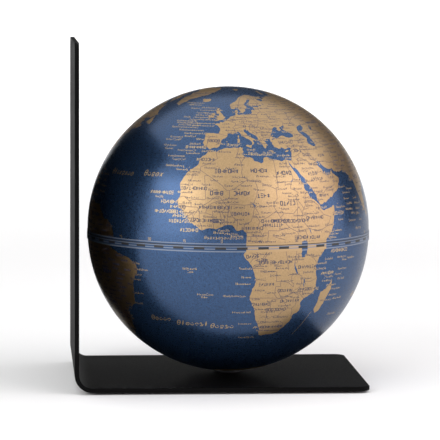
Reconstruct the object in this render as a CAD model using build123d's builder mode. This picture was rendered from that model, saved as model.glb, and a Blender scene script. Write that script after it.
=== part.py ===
"""Globe bookend: a bent steel L bracket carrying a small globe that spins on a vertical pivot.

Millimetres, +Z up. The origin is on the table, under the globe's spin axis. The upright plate
stands towards -X, the base runs towards +X, and the front edge of the base faces -Y.
"""
from build123d import *

import os
from math import sqrt

# --- bracket: one steel sheet bent into an L ---
SHEET = 2.0
BASE_LENGTH = 132.5
BRACKET_DEPTH = 102.0
BRACKET_HEIGHT = 155.5
BEND_OUTER_R = 8.0
BEND_INNER_R = BEND_OUTER_R - SHEET
CORNER_R = 5.0
EDGE_R = 0.35

# --- anti-slip pad glued under the base, over the screw head ---
PAD_THICKNESS = 1.0
PAD_INSET = 8.0
PAD_CORNER_R = 4.0

# --- globe: two half shells with a short straight lip between their sphere centres ---
GLOBE_R = 65.0
SHELL = 1.8
LIP = 1.5
AXIS_TO_PLATE_FACE = 72.0
POLE_GAP = 0.7
GLUE = 0.05

# --- equator tape, stuck on just below the middle of the lip ---
TAPE_WIDTH = 3.9
TAPE_THICKNESS = 0.15
TAPE_DROP = 2.2

# --- ring that joins the half shells from inside ---
RING_HEIGHT = 13.0
RING_WALL = 1.8

# --- pivot: M4 countersunk screw, washers, disc spring and lock nut ---
SCREW_R = 2.0
SCREW_HEAD_R = 3.75
SCREW_LENGTH = 20.0
THREAD_PITCH = 0.7
THREAD_DEPTH = 0.35
THREAD_COUNT = 12
RECESS_WIDTH = 0.9
RECESS_SPAN = 3.6
RECESS_DEPTH = 1.3
THRUST_WASHER_R = 6.0
THRUST_WASHER_THICKNESS = 0.4
SPRING_R = 4.5
SPRING_SHEET = 0.4
SPRING_DISH = 0.7
WASHER_R = 4.5
WASHER_THICKNESS = 0.8
WASHER_HOLE_R = 2.15
NUT_ACROSS_FLATS = 7.0
NUT_HEX_HEIGHT = 3.2
NUT_COLLAR_R = 3.0
NUT_HEIGHT = 5.0

# --- nylon bush at the south pole, running on the screw ---
BUSH_BORE_R = SCREW_R + 0.05
BUSH_R = 4.0
BUSH_FLANGE_R = 7.0
BUSH_FLANGE_THICKNESS = 1.2
BUSH_SEAT_R = BUSH_R + GLUE
BOSS_R = 13.0
BOSS_THICKNESS = 4.0
RUNNING_GAP = 0.3

# --- heights along the spin axis, from the table up ---
BASE_BOTTOM = PAD_THICKNESS
BASE_TOP = BASE_BOTTOM + SHEET
POLE_Z = BASE_TOP + POLE_GAP
SOUTH_CENTRE = POLE_Z + GLOBE_R
NORTH_CENTRE = SOUTH_CENTRE + LIP
GLOBE_MIDDLE = (SOUTH_CENTRE + NORTH_CENTRE) / 2
BOSS_TOP = POLE_Z + SHELL + BOSS_THICKNESS
FLANGE_TOP = BOSS_TOP + BUSH_FLANGE_THICKNESS
SPRING_BOTTOM = FLANGE_TOP + RUNNING_GAP
WASHER_BOTTOM = SPRING_BOTTOM + SPRING_SHEET + SPRING_DISH
NUT_BOTTOM = WASHER_BOTTOM + WASHER_THICKNESS

PLATE_FACE_X = -AXIS_TO_PLATE_FACE
BASE_END_X = PLATE_FACE_X + BASE_LENGTH
INNER_R = GLOBE_R - SHELL


def radius_at(sphere_radius, height):
    """Radius of a sphere's circle of latitude at a height from its centre."""
    return sqrt(sphere_radius**2 - height**2)


# ---------------------------------------------------------------- stand
with BuildPart() as bracket:
    with BuildSketch(Plane.XZ) as profile:
        with BuildLine():
            Polyline(
                (PLATE_FACE_X, BASE_BOTTOM),
                (BASE_END_X, BASE_BOTTOM),
                (BASE_END_X, BASE_TOP),
                (PLATE_FACE_X + SHEET, BASE_TOP),
                (PLATE_FACE_X + SHEET, BASE_BOTTOM + BRACKET_HEIGHT),
                (PLATE_FACE_X, BASE_BOTTOM + BRACKET_HEIGHT),
                close=True,
            )
        make_face()
        fillet(profile.vertices().sort_by_distance((PLATE_FACE_X, BASE_BOTTOM))[0], BEND_OUTER_R)
        inner_corner = (PLATE_FACE_X + SHEET, BASE_TOP)
        fillet(profile.vertices().sort_by_distance(inner_corner)[0], BEND_INNER_R)
    extrude(amount=BRACKET_DEPTH / 2, both=True)

    # rounded free corners of the plate and of the base
    plate_corners = bracket.edges().filter_by(Axis.X).group_by(Axis.Z)[-1]
    base_corners = bracket.edges().filter_by(Axis.Z).group_by(Axis.X)[-1]
    fillet(plate_corners.filter_by(lambda e: e.length < 2 * SHEET), CORNER_R)
    fillet(base_corners.filter_by(lambda e: e.length < 2 * SHEET), CORNER_R)

    # softened rim, so the powder coat has no sharp edge
    rim = bracket.faces().filter_by(Axis.Y).edges().filter_by(Axis.Z)
    rim = rim.filter_by(lambda e: e.length > 2 * SHEET)
    fillet(rim, EDGE_R)

    # countersunk hole for the pivot screw
    with Locations(Plane(origin=(0, 0, BASE_BOTTOM), z_dir=(0, 0, -1))):
        CounterSinkHole(SCREW_R + 0.1, SCREW_HEAD_R + 0.1, counter_sink_angle=90)

with BuildPart() as base_pad:
    flat_start = PLATE_FACE_X + BEND_OUTER_R
    with BuildSketch():
        with Locations(((flat_start + BASE_END_X) / 2, 0)):
            RectangleRounded(
                BASE_END_X - flat_start - 2 * PAD_INSET,
                BRACKET_DEPTH - 2 * PAD_INSET,
                PAD_CORNER_R,
            )
    extrude(amount=PAD_THICKNESS)
    chamfer(base_pad.faces().sort_by(Axis.Z)[0].edges(), 0.2)

with BuildPart() as pivot_screw:
    tip = BASE_BOTTOM + SCREW_LENGTH
    thread_start = tip - THREAD_COUNT * THREAD_PITCH - THREAD_DEPTH
    thread = []
    for turn in range(THREAD_COUNT):
        crest = thread_start + turn * THREAD_PITCH
        thread += [(SCREW_R, crest), (SCREW_R - THREAD_DEPTH, crest + THREAD_PITCH / 2)]
    with BuildSketch(Plane.XZ):
        with BuildLine():
            Polyline(
                (0, BASE_BOTTOM),
                (SCREW_HEAD_R, BASE_BOTTOM),
                (SCREW_R, BASE_BOTTOM + SCREW_HEAD_R - SCREW_R),
                *thread,
                (SCREW_R, tip - THREAD_DEPTH),
                (SCREW_R - THREAD_DEPTH, tip),
                (0, tip),
                close=True,
            )
        make_face()
    revolve(axis=Axis.Z)
    with BuildSketch(Plane(origin=(0, 0, BASE_BOTTOM), z_dir=(0, 0, 1))):
        Rectangle(RECESS_SPAN, RECESS_WIDTH)
        Rectangle(RECESS_WIDTH, RECESS_SPAN)
    extrude(amount=RECESS_DEPTH, taper=12, mode=Mode.SUBTRACT)

with BuildPart() as thrust_washer:
    with BuildSketch(Plane.XY.offset(BASE_TOP)):
        Circle(THRUST_WASHER_R)
        Circle(WASHER_HOLE_R, mode=Mode.SUBTRACT)
    extrude(amount=THRUST_WASHER_THICKNESS)

with BuildPart() as disc_spring:
    with BuildSketch(Plane.XZ):
        with BuildLine():
            Polyline(
                (SPRING_R, SPRING_BOTTOM),
                (SPRING_R, SPRING_BOTTOM + SPRING_SHEET),
                (WASHER_HOLE_R, WASHER_BOTTOM),
                (WASHER_HOLE_R, WASHER_BOTTOM - SPRING_SHEET),
                close=True,
            )
        make_face()
    revolve(axis=Axis.Z)

with BuildPart() as plain_washer:
    with BuildSketch(Plane.XY.offset(WASHER_BOTTOM)):
        Circle(WASHER_R)
        Circle(WASHER_HOLE_R, mode=Mode.SUBTRACT)
    extrude(amount=WASHER_THICKNESS)
    chamfer(plain_washer.faces().sort_by(Axis.Z)[-1].edges().sort_by(SortBy.RADIUS)[-1], 0.2)

with BuildPart() as lock_nut:
    with BuildSketch(Plane.XY.offset(NUT_BOTTOM)):
        RegularPolygon(NUT_ACROSS_FLATS / 2, 6, major_radius=False)
    extrude(amount=NUT_HEX_HEIGHT)
    chamfer(lock_nut.faces().filter_by(Axis.Z).edges(), 0.25)
    with BuildSketch(Plane.XY.offset(NUT_BOTTOM + NUT_HEX_HEIGHT)):
        Circle(NUT_COLLAR_R)
    extrude(amount=NUT_HEIGHT - NUT_HEX_HEIGHT)
    fillet(lock_nut.faces().sort_by(Axis.Z)[-1].edges(), 0.6)
    with Locations((0, 0, NUT_BOTTOM)):
        Hole(SCREW_R + 0.02)

# ---------------------------------------------------------------- globe
with BuildPart() as north_shell:
    seam = SOUTH_CENTRE + GLUE
    with BuildSketch(Plane.XZ):
        with BuildLine():
            Polyline((INNER_R, NORTH_CENTRE), (INNER_R, seam), (GLOBE_R, seam), (GLOBE_R, NORTH_CENTRE))
            CenterArc((0, NORTH_CENTRE), GLOBE_R, 0, 90)
            Line((0, NORTH_CENTRE + GLOBE_R), (0, NORTH_CENTRE + INNER_R))
            CenterArc((0, NORTH_CENTRE), INNER_R, 0, 90)
        make_face()
    revolve(axis=Axis.Z)

with BuildPart() as south_shell:
    with BuildSketch(Plane.XZ):
        with BuildLine():
            Line((INNER_R, SOUTH_CENTRE), (GLOBE_R, SOUTH_CENTRE))
            CenterArc((0, SOUTH_CENTRE), GLOBE_R, 270, 90)
            Line((0, SOUTH_CENTRE - GLOBE_R), (0, SOUTH_CENTRE - INNER_R))
            CenterArc((0, SOUTH_CENTRE), INNER_R, 270, 90)
        make_face()
    revolve(axis=Axis.Z)
    with Locations((0, 0, POLE_Z)):
        Cylinder(BUSH_SEAT_R, 2 * SHELL + 2, mode=Mode.SUBTRACT)

with BuildPart() as equator_tape:
    tape_top = GLOBE_MIDDLE - TAPE_DROP + TAPE_WIDTH / 2
    tape_bottom = tape_top - TAPE_WIDTH
    inner_skin = GLOBE_R + GLUE
    outer_skin = inner_skin + TAPE_THICKNESS
    drop = SOUTH_CENTRE - tape_bottom
    with BuildSketch(Plane.XZ):
        with BuildLine():
            Polyline(
                (inner_skin, SOUTH_CENTRE),
                (inner_skin, tape_top),
                (outer_skin, tape_top),
                (outer_skin, SOUTH_CENTRE),
                (radius_at(outer_skin, drop), tape_bottom),
                (radius_at(inner_skin, drop), tape_bottom),
                close=True,
            )
        make_face()
    revolve(axis=Axis.Z)

with BuildPart() as joiner_ring:
    ring_r = INNER_R - GLUE
    with Locations((0, 0, SOUTH_CENTRE)):
        Sphere(ring_r)
    with Locations((0, 0, NORTH_CENTRE)):
        Sphere(ring_r)
    with Locations((0, 0, GLOBE_MIDDLE)):
        Cylinder(ring_r, LIP)
        Cylinder(GLOBE_R, RING_HEIGHT, mode=Mode.INTERSECT)
        Cylinder(ring_r - RING_WALL, RING_HEIGHT, mode=Mode.SUBTRACT)

with BuildPart() as pole_boss:
    with Locations((0, 0, BOSS_TOP)):
        Cylinder(BOSS_R, BOSS_THICKNESS + SHELL, align=(Align.CENTER, Align.CENTER, Align.MAX))
    with Locations((0, 0, SOUTH_CENTRE)):
        Sphere(INNER_R - GLUE, mode=Mode.INTERSECT)
    chamfer(pole_boss.faces().sort_by(Axis.Z)[-1].edges(), 0.5)
    with Locations((0, 0, BOSS_TOP)):
        Hole(BUSH_SEAT_R)

with BuildPart() as pole_bush:
    with BuildSketch(Plane.XY.offset(POLE_Z + GLUE)):
        Circle(BUSH_R)
    extrude(amount=BOSS_TOP - POLE_Z)
    with BuildSketch(Plane.XY.offset(BOSS_TOP + GLUE)):
        Circle(BUSH_FLANGE_R)
    extrude(amount=BUSH_FLANGE_THICKNESS - GLUE)
    chamfer(pole_bush.faces().sort_by(Axis.Z)[-1].edges(), 0.2)
    with Locations((0, 0, FLANGE_TOP)):
        Hole(BUSH_BORE_R)

PIECES = {
    "bracket": bracket,
    "base_pad": base_pad,
    "pivot_screw": pivot_screw,
    "thrust_washer": thrust_washer,
    "disc_spring": disc_spring,
    "plain_washer": plain_washer,
    "lock_nut": lock_nut,
    "north_shell": north_shell,
    "south_shell": south_shell,
    "equator_tape": equator_tape,
    "joiner_ring": joiner_ring,
    "pole_boss": pole_boss,
    "pole_bush": pole_bush,
}

os.makedirs("parts", exist_ok=True)
for name, piece in PIECES.items():
    piece.part.label = name
    export_step(piece.part, f"parts/{name}.step")
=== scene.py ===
"""Globe bookend on its CAD frame: the printed metallic map, the finishes, a plain studio and the camera."""

import random
import re
from math import atan2, cos, degrees, exp, hypot, pi, radians, sin

import bpy
import numpy as np
from mathutils import Matrix, Vector
from mathutils.geometry import delaunay_2d_cdt


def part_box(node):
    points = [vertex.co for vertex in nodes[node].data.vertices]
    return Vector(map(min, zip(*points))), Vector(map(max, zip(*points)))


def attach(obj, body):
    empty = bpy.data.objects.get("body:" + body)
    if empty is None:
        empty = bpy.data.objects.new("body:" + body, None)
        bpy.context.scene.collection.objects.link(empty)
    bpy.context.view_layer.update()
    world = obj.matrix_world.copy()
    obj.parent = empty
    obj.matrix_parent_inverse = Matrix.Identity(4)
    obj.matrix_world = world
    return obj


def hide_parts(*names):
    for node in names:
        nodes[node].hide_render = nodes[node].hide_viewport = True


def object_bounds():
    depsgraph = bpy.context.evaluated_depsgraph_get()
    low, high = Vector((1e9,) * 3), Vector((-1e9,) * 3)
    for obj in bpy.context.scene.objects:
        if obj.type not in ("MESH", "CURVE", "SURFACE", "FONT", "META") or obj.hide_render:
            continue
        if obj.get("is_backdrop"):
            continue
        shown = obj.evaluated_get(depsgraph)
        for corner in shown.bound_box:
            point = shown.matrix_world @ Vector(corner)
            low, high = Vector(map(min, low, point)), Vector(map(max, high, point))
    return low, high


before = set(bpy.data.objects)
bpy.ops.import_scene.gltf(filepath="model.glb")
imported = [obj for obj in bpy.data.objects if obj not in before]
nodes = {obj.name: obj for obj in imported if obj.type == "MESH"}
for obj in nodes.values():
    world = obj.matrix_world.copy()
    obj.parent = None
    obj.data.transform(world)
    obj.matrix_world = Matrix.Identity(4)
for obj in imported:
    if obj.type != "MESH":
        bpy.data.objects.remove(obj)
cad_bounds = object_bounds()


def put(name, data):
    """A new object in the scene."""
    made = bpy.data.objects.new(name, data)
    bpy.context.collection.objects.link(made)
    return made


# ------------ tables of the map
def pairs(text):
    """The numbers of a text two by two, from tenths of a degree to degrees."""
    values = [int(word) / 10 for word in text.split()]
    return list(zip(values[::2], values[1::2]))


def outlines(text):
    """Closed outlines: a name and then its points."""
    return [pairs(part) for part in re.split("[a-z_]+", text)[1:]]


def rows_of_marks(text):
    """Printed names as (kind, longitude, latitude, number of marks). A kind holds until the next letter."""
    found = []
    for kind, part in re.findall("([a-zA-Z])([^a-zA-Z]+)", text):
        values = [float(word) for word in part.split()]
        found += [(kind, lon, lat, int(count)) for lon, lat, count in zip(values[::3], values[1::3], values[2::3])]
    return found


# Longitudes and latitudes in tenths of a degree, east and north positive. Coasts, one closed outline per land.
LANDS = outlines("""
africa -59 358 -53 359 -43 352 -29 353 -20 351 -10 357 1 361 15 366 30 369 51 368 64 371 78 369 86 369 98 373 103 368
110 371 106 363 106 358 111 352 107 347 100 342 101 338 109 337 112 332 123 328 132 329 143 327 152 323 155 316 158
312 174 309 186 304 192 303 200 309 201 321 210 328 219 329 231 324 231 320 249 319 252 316 269 315 284 311 291 309
300 313 310 316 319 315 323 313 324 300 325 294 330 284 337 273 344 261 351 250 355 240 358 232 369 220 372 210 372
196 375 188 386 180 390 165 395 155 402 150 412 146 423 134 431 127 433 120 431 115 439 108 449 104 465 108 480 111
495 113 508 120 513 118 511 106 508 93 499 81 490 62 480 45 465 29 454 20 437 8 426 -3 416 -17 403 -26 397 -41 388 -60
395 -69 393 -80 396 -91 404 -104 405 -125 408 -148 400 -161 381 -172 369 -179 355 -189 348 -198 348 -206 355 -218 355
-236 346 -247 330 -253 326 -259 329 -269 325 -283 311 -298 302 -310 286 -326 271 -335 257 -340 245 -341 222 -341 205
-344 200 -348 189 -344 184 -342 184 -337 179 -328 182 -319 173 -304 165 -286 153 -270 150 -256 145 -240 145 -227 135
-210 125 -189 118 -179 117 -166 122 -152 125 -136 134 -125 138 -109 132 -89 128 -72 123 -61 118 -48 110 -38 96 -24 88
-10 88 -7 94 2 96 11 98 25 98 35 90 41 86 47 70 44 61 43 54 52 45 63 34 64 20 63 12 61 7 58 -2 55 -20 48 -31 51 -45 52
-59 50 -75 44 -91 55 -108 64 -115 69 -130 82 -133 91 -145 103 -151 111 -166 122 -168 132 -175 147 -166 158 -161 175
-162 190 -166 205 -170 210 -168 222 -159 238 -149 252 -144 263 -132 276 -121 280 -111 287 -101 295 -97 304 -98 314 -92
325 -84 333 -70 339 -63 349
eurasia 323 313 338 311 343 313 349 326 355 339 358 350 359 360 362 366 355 366 346 367 338 362 326 360 314 367 306
368 304 363 292 363 283 368 273 370 270 379 264 384 269 390 261 395 262 401 260 408 244 409 238 406 240 401 233 402
229 406 227 398 232 392 229 389 238 383 240 377 230 379 231 374 228 368 224 365 219 368 215 373 213 382 207 389 202
395 194 404 195 415 189 422 176 430 163 436 152 443 148 451 138 449 136 456 124 454 124 443 135 436 142 425 151 419
161 418 159 415 171 411 184 403 183 398 170 405 166 398 171 391 165 384 157 380 159 387 160 395 153 401 143 408 129
413 121 419 110 425 103 434 98 441 88 444 75 438 62 431 48 434 39 436 31 431 32 423 21 413 8 409 -3 395 2 388 -6 382
-8 376 -21 368 -44 367 -54 361 -63 366 -70 372 -89 370 -88 384 -95 388 -89 403 -88 420 -93 431 -82 437 -58 436 -38 435
-18 434 -13 446 -12 460 -25 473 -46 480 -47 485 -30 488 -16 487 -18 497 -2 494 16 503 25 511 40 519 48 530 70 534 86
539 86 550 81 560 86 571 106 577 103 566 108 562 98 552 100 545 110 540 125 544 143 539 165 545 186 547 199 546 211
556 211 570 226 577 241 570 244 583 235 592 255 596 280 595 300 599 285 606 250 602 229 599 214 609 215 625 235 640
253 650 245 658 220 656 213 645 190 632 174 620 172 607 188 599 180 590 166 580 164 567 150 561 142 554 129 555 125
565 115 580 107 593 95 590 80 581 60 583 50 600 50 618 75 632 100 642 125 660 145 680 175 692 205 701 255 711 295 707
310 703 330 694 370 688 410 673 405 663 370 665 328 671 345 653 365 640 380 642 400 647 400 658 423 665 440 662 440
684 460 678 480 677 535 686 590 690 605 698 650 693 685 683 670 696 670 713 695 729 728 728 730 710 734 685 715 664
738 675 745 710 750 728 805 723 800 736 870 750 980 762 1040 777 1130 758 1135 736 1190 731 1235 732 1270 723 1295 710
1325 718 1395 723 1500 716 1600 697 1700 700 1800 689 1850 675 1902 661 1875 644 1825 654 1780 646 1792 625 1745 618
1700 600 1640 599 1630 582 1620 562 1618 548 1600 530 1567 511 1556 540 1558 568 1595 600 1638 618 1600 618 1550 593
1510 594 1450 594 1405 576 1370 543 1410 530 1405 505 1403 485 1360 445 1320 431 1307 423 1297 410 1275 397 1285 383
1295 365 1291 351 1265 344 1265 365 1250 379 1252 395 1215 390 1220 405 1190 392 1178 389 1190 374 1225 373 1193 350
1210 325 1220 310 1218 292 1198 260 1175 240 1142 223 1105 212 1100 204 1095 215 1080 216 1066 203 1058 188 1075 166
1092 135 1090 114 1067 103 1048 86 1050 101 1030 110 1025 122 1009 127 1005 135 1000 120 992 100 1005 72 1023 62 1034
45 1042 14 1034 14 1014 29 1003 55 990 78 983 83 987 110 977 155 970 170 953 158 942 160 944 185 923 208 918 224 903
220 882 217 870 213 868 202 850 193 823 167 802 155 802 130 798 105 790 93 780 84 775 81 763 99 748 129 737 158 728
190 727 212 710 208 692 222 703 229 685 235 670 248 664 254 616 251 580 256 571 269 545 266 525 275 510 288 500 301
488 302 480 299 482 290 488 278 501 266 502 255 508 249 510 260 516 256 515 245 526 241 542 243 555 255 562 263 564
249 580 237 598 225 588 208 578 202 577 190 563 180 552 173 530 166 522 157 500 150 475 136 450 128 435 127 432 138
428 150 427 165 415 183 405 199 391 215 385 235 372 248 365 261 354 276 347 281 350 294 343 278 337 285 330 297 327
301
north_america -1681 656 -1615 664 -1630 678 -1663 684 -1620 703 -1565 713 -1480 704 -1410 697 -1350 694 -1280 702
-1245 700 -1150 683 -1080 680 -980 678 -945 715 -900 690 -855 695 -815 685 -870 660 -910 630 -945 600 -948 588 -925
570 -880 565 -823 551 -822 529 -800 513 -790 525 -795 547 -770 565 -783 590 -775 624 -735 623 -700 610 -695 590 -660
587 -645 603 -620 578 -600 550 -575 540 -558 525 -585 513 -600 502 -660 502 -690 487 -650 492 -645 480 -660 480 -645
463 -610 456 -635 446 -660 436 -665 450 -675 446 -705 435 -708 423 -700 417 -740 406 -750 385 -760 370 -756 353 -780
339 -810 320 -813 300 -801 265 -808 252 -820 267 -828 285 -845 300 -885 304 -895 292 -920 296 -950 292 -973 273 -975
240 -975 215 -960 190 -943 182 -915 186 -905 207 -870 215 -876 185 -888 159 -860 159 -832 150 -837 110 -822 92 -797 95
-774 87 -775 75 -788 89 -804 73 -830 84 -857 102 -875 129 -915 140 -945 162 -995 167 -1045 191 -1055 207 -1065 233
-1095 265 -1123 290 -1145 315 -1128 280 -1100 242 -1095 230 -1123 255 -1145 280 -1168 315 -1185 340 -1206 346 -1225
375 -1243 404 -1240 440 -1246 483 -1225 473 -1230 492 -1275 510 -1303 545 -1340 580 -1375 589 -1420 600 -1465 610
-1495 598 -1515 610 -1540 590 -1580 568 -1645 548 -1585 587 -1620 590 -1660 615 -1645 630 -1610 643 -1660 645
south_america -774 88 -756 106 -740 113 -715 124 -714 109 -702 120 -685 108 -660 106 -620 107 -618 98 -600 85 -570 60
-540 59 -517 43 -500 18 -500 0 -484 -9 -443 -25 -415 -29 -385 -37 -369 -49 -353 -53 -349 -75 -351 -90 -370 -110 -385
-130 -390 -160 -397 -185 -410 -220 -432 -230 -463 -240 -486 -260 -487 -285 -503 -303 -522 -323 -540 -347 -562 -349
-584 -340 -570 -365 -580 -382 -622 -390 -650 -410 -637 -425 -653 -447 -675 -463 -658 -479 -690 -505 -684 -524 -680
-538 -652 -548 -685 -553 -720 -535 -740 -520 -755 -485 -740 -450 -730 -425 -737 -395 -730 -368 -716 -330 -713 -295
-704 -240 -703 -184 -735 -162 -763 -138 -772 -120 -790 -82 -812 -60 -813 -45 -800 -30 -810 -22 -800 0 -788 15 -773 40
-777 72
greenland -439 599 -420 625 -395 655 -320 683 -240 704 -220 725 -190 760 -170 800 -210 820 -320 836 -450 825 -600 820
-680 800 -720 780 -680 761 -580 756 -545 710 -515 690 -535 665 -510 635 -485 610
antarctica -1800 -780 -1600 -780 -1500 -760 -1350 -745 -1200 -738 -1000 -730 -900 -728 -750 -735 -680 -710 -670 -670
-620 -645 -570 -634 -610 -660 -620 -720 -600 -750 -450 -780 -350 -780 -250 -750 -150 -725 0 -705 200 -700 350 -690 500
-665 600 -673 700 -690 780 -690 880 -665 1100 -660 1300 -660 1450 -670 1600 -700 1700 -720 1630 -775 1750 -780
australia 1137 -225 1142 -260 1157 -318 1150 -343 1180 -350 1235 -339 1260 -323 1310 -315 1345 -330 1357 -349 1378
-328 1385 -352 1405 -380 1435 -388 1464 -391 1500 -373 1512 -339 1535 -285 1530 -250 1492 -208 1460 -188 1453 -150
1426 -107 1416 -135 1410 -173 1390 -174 1358 -150 1370 -122 1326 -114 1308 -124 1295 -149 1268 -140 1223 -173 1210
-196 1168 -206
britain -55 501 -35 503 -10 508 14 512 5 516 17 527 3 530 -2 540 -16 553 -28 562 -20 576 -40 577 -32 586 -50 586 -58
573 -55 562 -49 548 -32 549 -30 536 -46 532 -42 523 -52 518 -32 514 -45 511
ireland -62 534 -63 522 -98 516 -100 534 -85 544 -73 553 -56 546
iceland -225 640 -185 634 -145 644 -148 658 -165 665 -205 661 -228 664 -242 655 -220 648
svalbard 110 795 170 767 220 778 270 800 200 803
novaya_zemlya 520 710 570 710 580 735 660 768 600 760 550 740 515 718
severnaya_zemlya 950 790 1040 793 1000 810
madagascar 493 -120 504 -156 496 -170 472 -248 452 -256 437 -235 444 -205 440 -185 445 -162 468 -154
sicily 125 380 156 382 151 367 127 376
sardinia 84 389 90 392 96 392 97 401 96 409 91 412 83 408 85 400
corsica 88 416 93 415 95 422 94 430 93 426 86 424
crete 236 355 263 353 262 350 236 352
cyprus 324 351 345 356 340 349 326 347
mallorca 24 396 32 399 30 393
zealand 112 557 124 560 122 551 113 552
socotra 534 126 544 125 538 123
tenerife -169 283 -162 285 -166 280
fuerteventura -143 281 -136 289 -139 282
cape_verde -237 152 -232 151 -236 148
sri_lanka 798 80 803 97 818 74 806 60
sumatra 954 56 980 45 1004 25 1035 -8 1060 -32 1057 -58 1040 -52 1010 -25 987 15
java 1053 -67 1085 -67 1144 -77 1144 -86 1080 -77
borneo 1090 15 1114 25 1135 35 1168 70 1192 52 1178 35 1180 10 1160 -38 1102 -29
sulawesi 1190 -33 1198 8 1248 16 1203 4 1215 -10 1233 -9 1215 -20 1228 -45 1215 -46 1209 -28 1203 -55 1194 -54
new_guinea 1310 -9 1340 -8 1350 -33 1380 -17 1445 -39 1478 -60 1508 -105 1470 -95 1435 -85 1410 -91 1380 -83 1378 -53
1330 -40
luzon 1205 185 1222 184 1215 155 1240 127 1208 138 1199 160
mindanao 1220 70 1235 87 1255 97 1265 75 1254 57 1240 70
taiwan 1215 252 1201 230 1209 220
hainan 1087 192 1105 201 1109 199 1095 182
honshu 1310 342 1330 355 1360 358 1373 374 1395 385 1400 408 1415 413 1420 395 1409 370 1408 357 1388 347 1370 346
1358 335 1350 346 1325 342
kyushu 1300 335 1317 336 1313 314 1302 313
shikoku 1325 339 1346 342 1342 333 1329 328
hokkaido 1400 416 1404 433 1418 454 1453 434 1432 420 1410 424
sakhalin 1420 460 1421 490 1428 543 1437 500 1435 468
tasmania 1447 -408 1483 -409 1470 -435 1460 -434
new_zealand_north 1727 -345 1755 -367 1784 -377 1769 -395 1752 -415 1738 -393 1748 -380
new_zealand_south 1727 -406 1743 -417 1712 -443 1690 -466 1665 -458 1683 -440 1712 -424
newfoundland -593 479 -555 469 -530 468 -535 490 -560 515 -575 500
baffin -800 737 -720 713 -620 668 -650 620 -720 642 -740 680 -850 700 -890 730
victoria -1170 700 -1050 690 -1010 720 -1100 730 -1170 729
banks -1250 720 -1180 730 -1220 745
ellesmere -900 765 -780 765 -650 815 -700 830 -900 815
cuba -849 219 -825 231 -770 218 -742 202 -777 198 -780 207 -820 224
hispaniola -744 185 -728 199 -684 186 -715 177
puerto_rico -672 184 -657 184 -664 179
jamaica -783 184 -763 180 -774 178
falklands -610 -514 -580 -515 -595 -523
""")
# Seas and lakes enclosed by those lands.
WATERS = outlines("""
black_sea 282 415 292 412 313 412 330 420 351 420 363 413 380 410 413 415 415 424 400 434 382 444 374 447 366 452 380
463 392 471 375 470 355 464 349 460 352 454 355 451 342 444 334 446 326 454 336 460 315 466 300 457 296 449 286 439
279 432 276 425
caspian 475 430 470 442 475 456 492 464 512 470 530 469 530 456 513 446 503 444 513 432 525 426 528 412 538 420 530
402 535 393 539 372 520 366 502 374 490 380 492 393 503 403 490 413 485 420
aral 585 450 595 465 612 463 605 448 590 438
marmara 269 405 283 410 292 408 278 404
ladoga 306 612 327 609 320 600 310 602
onega 345 624 360 616 353 609
vanern 126 588 138 592 139 586 130 584
baikal 1040 516 1080 536 1100 556 1085 550 1050 523
balkhash 738 455 760 467 790 466 760 462 745 450
victoria 318 -10 322 1 335 4 343 0 340 -15 333 -24 320 -25
tanganyika 292 -34 295 -55 306 -75 312 -87 304 -83 293 -65 290 -45
malawi 340 -96 347 -115 350 -142 343 -130 340 -110
chad 132 139 138 140 148 129 143 126
turkana 359 46 363 42 367 26 362 31
volta -8 82 2 76 1 63 -3 72
nasser 312 220 329 240 324 229
superior -920 468 -880 486 -848 466 -880 469
michigan -878 430 -863 430 -853 458 -875 450
huron -840 460 -815 455 -820 432 -835 445
erie -830 417 -790 428 -800 420
ontario -796 434 -764 440 -770 433
great_bear -1240 660 -1200 666 -1180 656 -1210 650
great_slave -1165 610 -1120 627 -1100 626 -1130 610
winnipeg -990 535 -975 538 -965 508 -975 515
titicaca -700 -156 -690 -164 -696 -164
""")
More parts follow.
